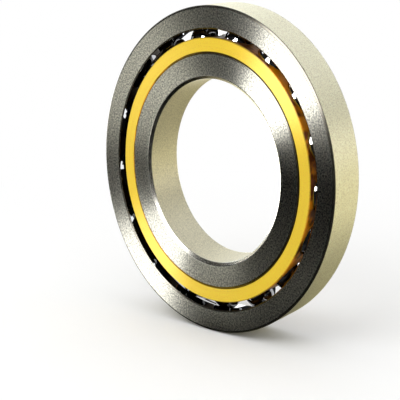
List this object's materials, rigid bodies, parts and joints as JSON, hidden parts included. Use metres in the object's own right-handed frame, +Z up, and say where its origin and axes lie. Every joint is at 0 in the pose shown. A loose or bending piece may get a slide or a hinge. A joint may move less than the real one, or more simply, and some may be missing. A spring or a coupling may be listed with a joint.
{
  "type": "angular contact ball bearing",
  "caption": "Single-row angular contact ball bearing with ground steel rings and a one-piece machined brass cage; it carries a shaft under combined radial and thrust load.",
  "frame": {"origin": "on the bearing axis at mid width", "axes": "+Y along the bearing axis, from the outer ring's high thrust shoulder side to its relieved side; +Z up, so that the bearing stands on its outside diameter"},
  "size_m": [0.25, 0.042, 0.25],
  "materials": {
    "ring_steel": "ground satin on the faces and outside, fine turned lines, polished raceways",
    "cage_brass": "machined satin brass",
    "ball_steel": "lapped mirror-bright bearing steel"
  },
  "bodies": {
    "outer_ring": {"outer_ring": "ring_steel"},
    "inner_ring": {"inner_ring": "ring_steel"},
    "cage": {"cage": "cage_brass"},
    "ball_01": {"ball_01": "ball_steel"},
    "ball_02": {"ball_02": "ball_steel"},
    "ball_03": {"ball_03": "ball_steel"},
    "ball_04": {"ball_04": "ball_steel"},
    "ball_05": {"ball_05": "ball_steel"},
    "ball_06": {"ball_06": "ball_steel"},
    "ball_07": {"ball_07": "ball_steel"},
    "ball_08": {"ball_08": "ball_steel"},
    "ball_09": {"ball_09": "ball_steel"},
    "ball_10": {"ball_10": "ball_steel"},
    "ball_11": {"ball_11": "ball_steel"},
    "ball_12": {"ball_12": "ball_steel"},
    "ball_13": {"ball_13": "ball_steel"},
    "ball_14": {"ball_14": "ball_steel"},
    "ball_15": {"ball_15": "ball_steel"},
    "ball_16": {"ball_16": "ball_steel"},
    "ball_17": {"ball_17": "ball_steel"}
  },
  "joints": [
    {"name": "inner_ring_spin", "type": "hinge", "parent": "outer_ring", "child": "inner_ring", "pos_m": [0, 0, 0], "axis": [0, 1, 0], "continuous": true},
    {"name": "cage_orbit", "type": "hinge", "parent": "outer_ring", "child": "cage", "pos_m": [0, 0, 0], "axis": [0, 1, 0], "continuous": true},
    {"name": "ball_01_spin", "type": "hinge", "parent": "cage", "child": "ball_01", "pos_m": [0.09294, 0, 0.02948], "axis": [0.4028, 0.9063, 0.1278], "continuous": true},
    {"name": "ball_02_spin", "type": "hinge", "parent": "cage", "child": "ball_02", "pos_m": [0.07601, 0, 0.06106], "axis": [0.3295, 0.9063, 0.2647], "continuous": true},
    {"name": "ball_03_spin", "type": "hinge", "parent": "cage", "child": "ball_03", "pos_m": [0.04882, 0, 0.0844], "axis": [0.2116, 0.9063, 0.3658], "continuous": true},
    {"name": "ball_04_spin", "type": "hinge", "parent": "cage", "child": "ball_04", "pos_m": [0.01503, 0, 0.09633], "axis": [0.0652, 0.9063, 0.4176], "continuous": true},
    {"name": "ball_05_spin", "type": "hinge", "parent": "cage", "child": "ball_05", "pos_m": [-0.02078, 0, 0.09526], "axis": [-0.0901, 0.9063, 0.4129], "continuous": true},
    {"name": "ball_06_spin", "type": "hinge", "parent": "cage", "child": "ball_06", "pos_m": [-0.05379, 0, 0.08132], "axis": [-0.2332, 0.9063, 0.3525], "continuous": true},
    {"name": "ball_07_spin", "type": "hinge", "parent": "cage", "child": "ball_07", "pos_m": [-0.07953, 0, 0.0564], "axis": [-0.3447, 0.9063, 0.2445], "continuous": true},
    {"name": "ball_08_spin", "type": "hinge", "parent": "cage", "child": "ball_08", "pos_m": [-0.09454, 0, 0.02386], "axis": [-0.4098, 0.9063, 0.1034], "continuous": true},
    {"name": "ball_09_spin", "type": "hinge", "parent": "cage", "child": "ball_09", "pos_m": [-0.09677, 0, -0.0119], "axis": [-0.4195, 0.9063, -0.0516], "continuous": true},
    {"name": "ball_10_spin", "type": "hinge", "parent": "cage", "child": "ball_10", "pos_m": [-0.08594, 0, -0.04606], "axis": [-0.3725, 0.9063, -0.1996], "continuous": true},
    {"name": "ball_11_spin", "type": "hinge", "parent": "cage", "child": "ball_11", "pos_m": [-0.0635, 0, -0.07399], "axis": [-0.2752, 0.9063, -0.3207], "continuous": true},
    {"name": "ball_12_spin", "type": "hinge", "parent": "cage", "child": "ball_12", "pos_m": [-0.03248, 0, -0.09193], "axis": [-0.1408, 0.9063, -0.3985], "continuous": true},
    {"name": "ball_13_spin", "type": "hinge", "parent": "cage", "child": "ball_13", "pos_m": [0.00292, 0, -0.09746], "axis": [0.0127, 0.9063, -0.4224], "continuous": true},
    {"name": "ball_14_spin", "type": "hinge", "parent": "cage", "child": "ball_14", "pos_m": [0.03793, 0, -0.08982], "axis": [0.1644, 0.9063, -0.3893], "continuous": true},
    {"name": "ball_15_spin", "type": "hinge", "parent": "cage", "child": "ball_15", "pos_m": [0.06782, 0, -0.07005], "axis": [0.2939, 0.9063, -0.3036], "continuous": true},
    {"name": "ball_16_spin", "type": "hinge", "parent": "cage", "child": "ball_16", "pos_m": [0.08854, 0, -0.04082], "axis": [0.3838, 0.9063, -0.177], "continuous": true},
    {"name": "ball_17_spin", "type": "hinge", "parent": "cage", "child": "ball_17", "pos_m": [0.09731, 0, -0.00608], "axis": [0.4218, 0.9063, -0.0264], "continuous": true}
  ],
  "couplings": [
    {"joint": "cage_orbit", "follows": "inner_ring_spin", "ratio": 0.4336},
    {"joint": "ball_01_spin", "follows": "inner_ring_spin", "ratio": -3.3519},
    {"joint": "ball_02_spin", "follows": "inner_ring_spin", "ratio": -3.3519},
    {"joint": "ball_03_spin", "follows": "inner_ring_spin", "ratio": -3.3519},
    {"joint": "ball_04_spin", "follows": "inner_ring_spin", "ratio": -3.3519},
    {"joint": "ball_05_spin", "follows": "inner_ring_spin", "ratio": -3.3519},
    {"joint": "ball_06_spin", "follows": "inner_ring_spin", "ratio": -3.3519},
    {"joint": "ball_07_spin", "follows": "inner_ring_spin", "ratio": -3.3519},
    {"joint": "ball_08_spin", "follows": "inner_ring_spin", "ratio": -3.3519},
    {"joint": "ball_09_spin", "follows": "inner_ring_spin", "ratio": -3.3519},
    {"joint": "ball_10_spin", "follows": "inner_ring_spin", "ratio": -3.3519},
    {"joint": "ball_11_spin", "follows": "inner_ring_spin", "ratio": -3.3519},
    {"joint": "ball_12_spin", "follows": "inner_ring_spin", "ratio": -3.3519},
    {"joint": "ball_13_spin", "follows": "inner_ring_spin", "ratio": -3.3519},
    {"joint": "ball_14_spin", "follows": "inner_ring_spin", "ratio": -3.3519},
    {"joint": "ball_15_spin", "follows": "inner_ring_spin", "ratio": -3.3519},
    {"joint": "ball_16_spin", "follows": "inner_ring_spin", "ratio": -3.3519},
    {"joint": "ball_17_spin", "follows": "inner_ring_spin", "ratio": -3.3519}
  ]
}
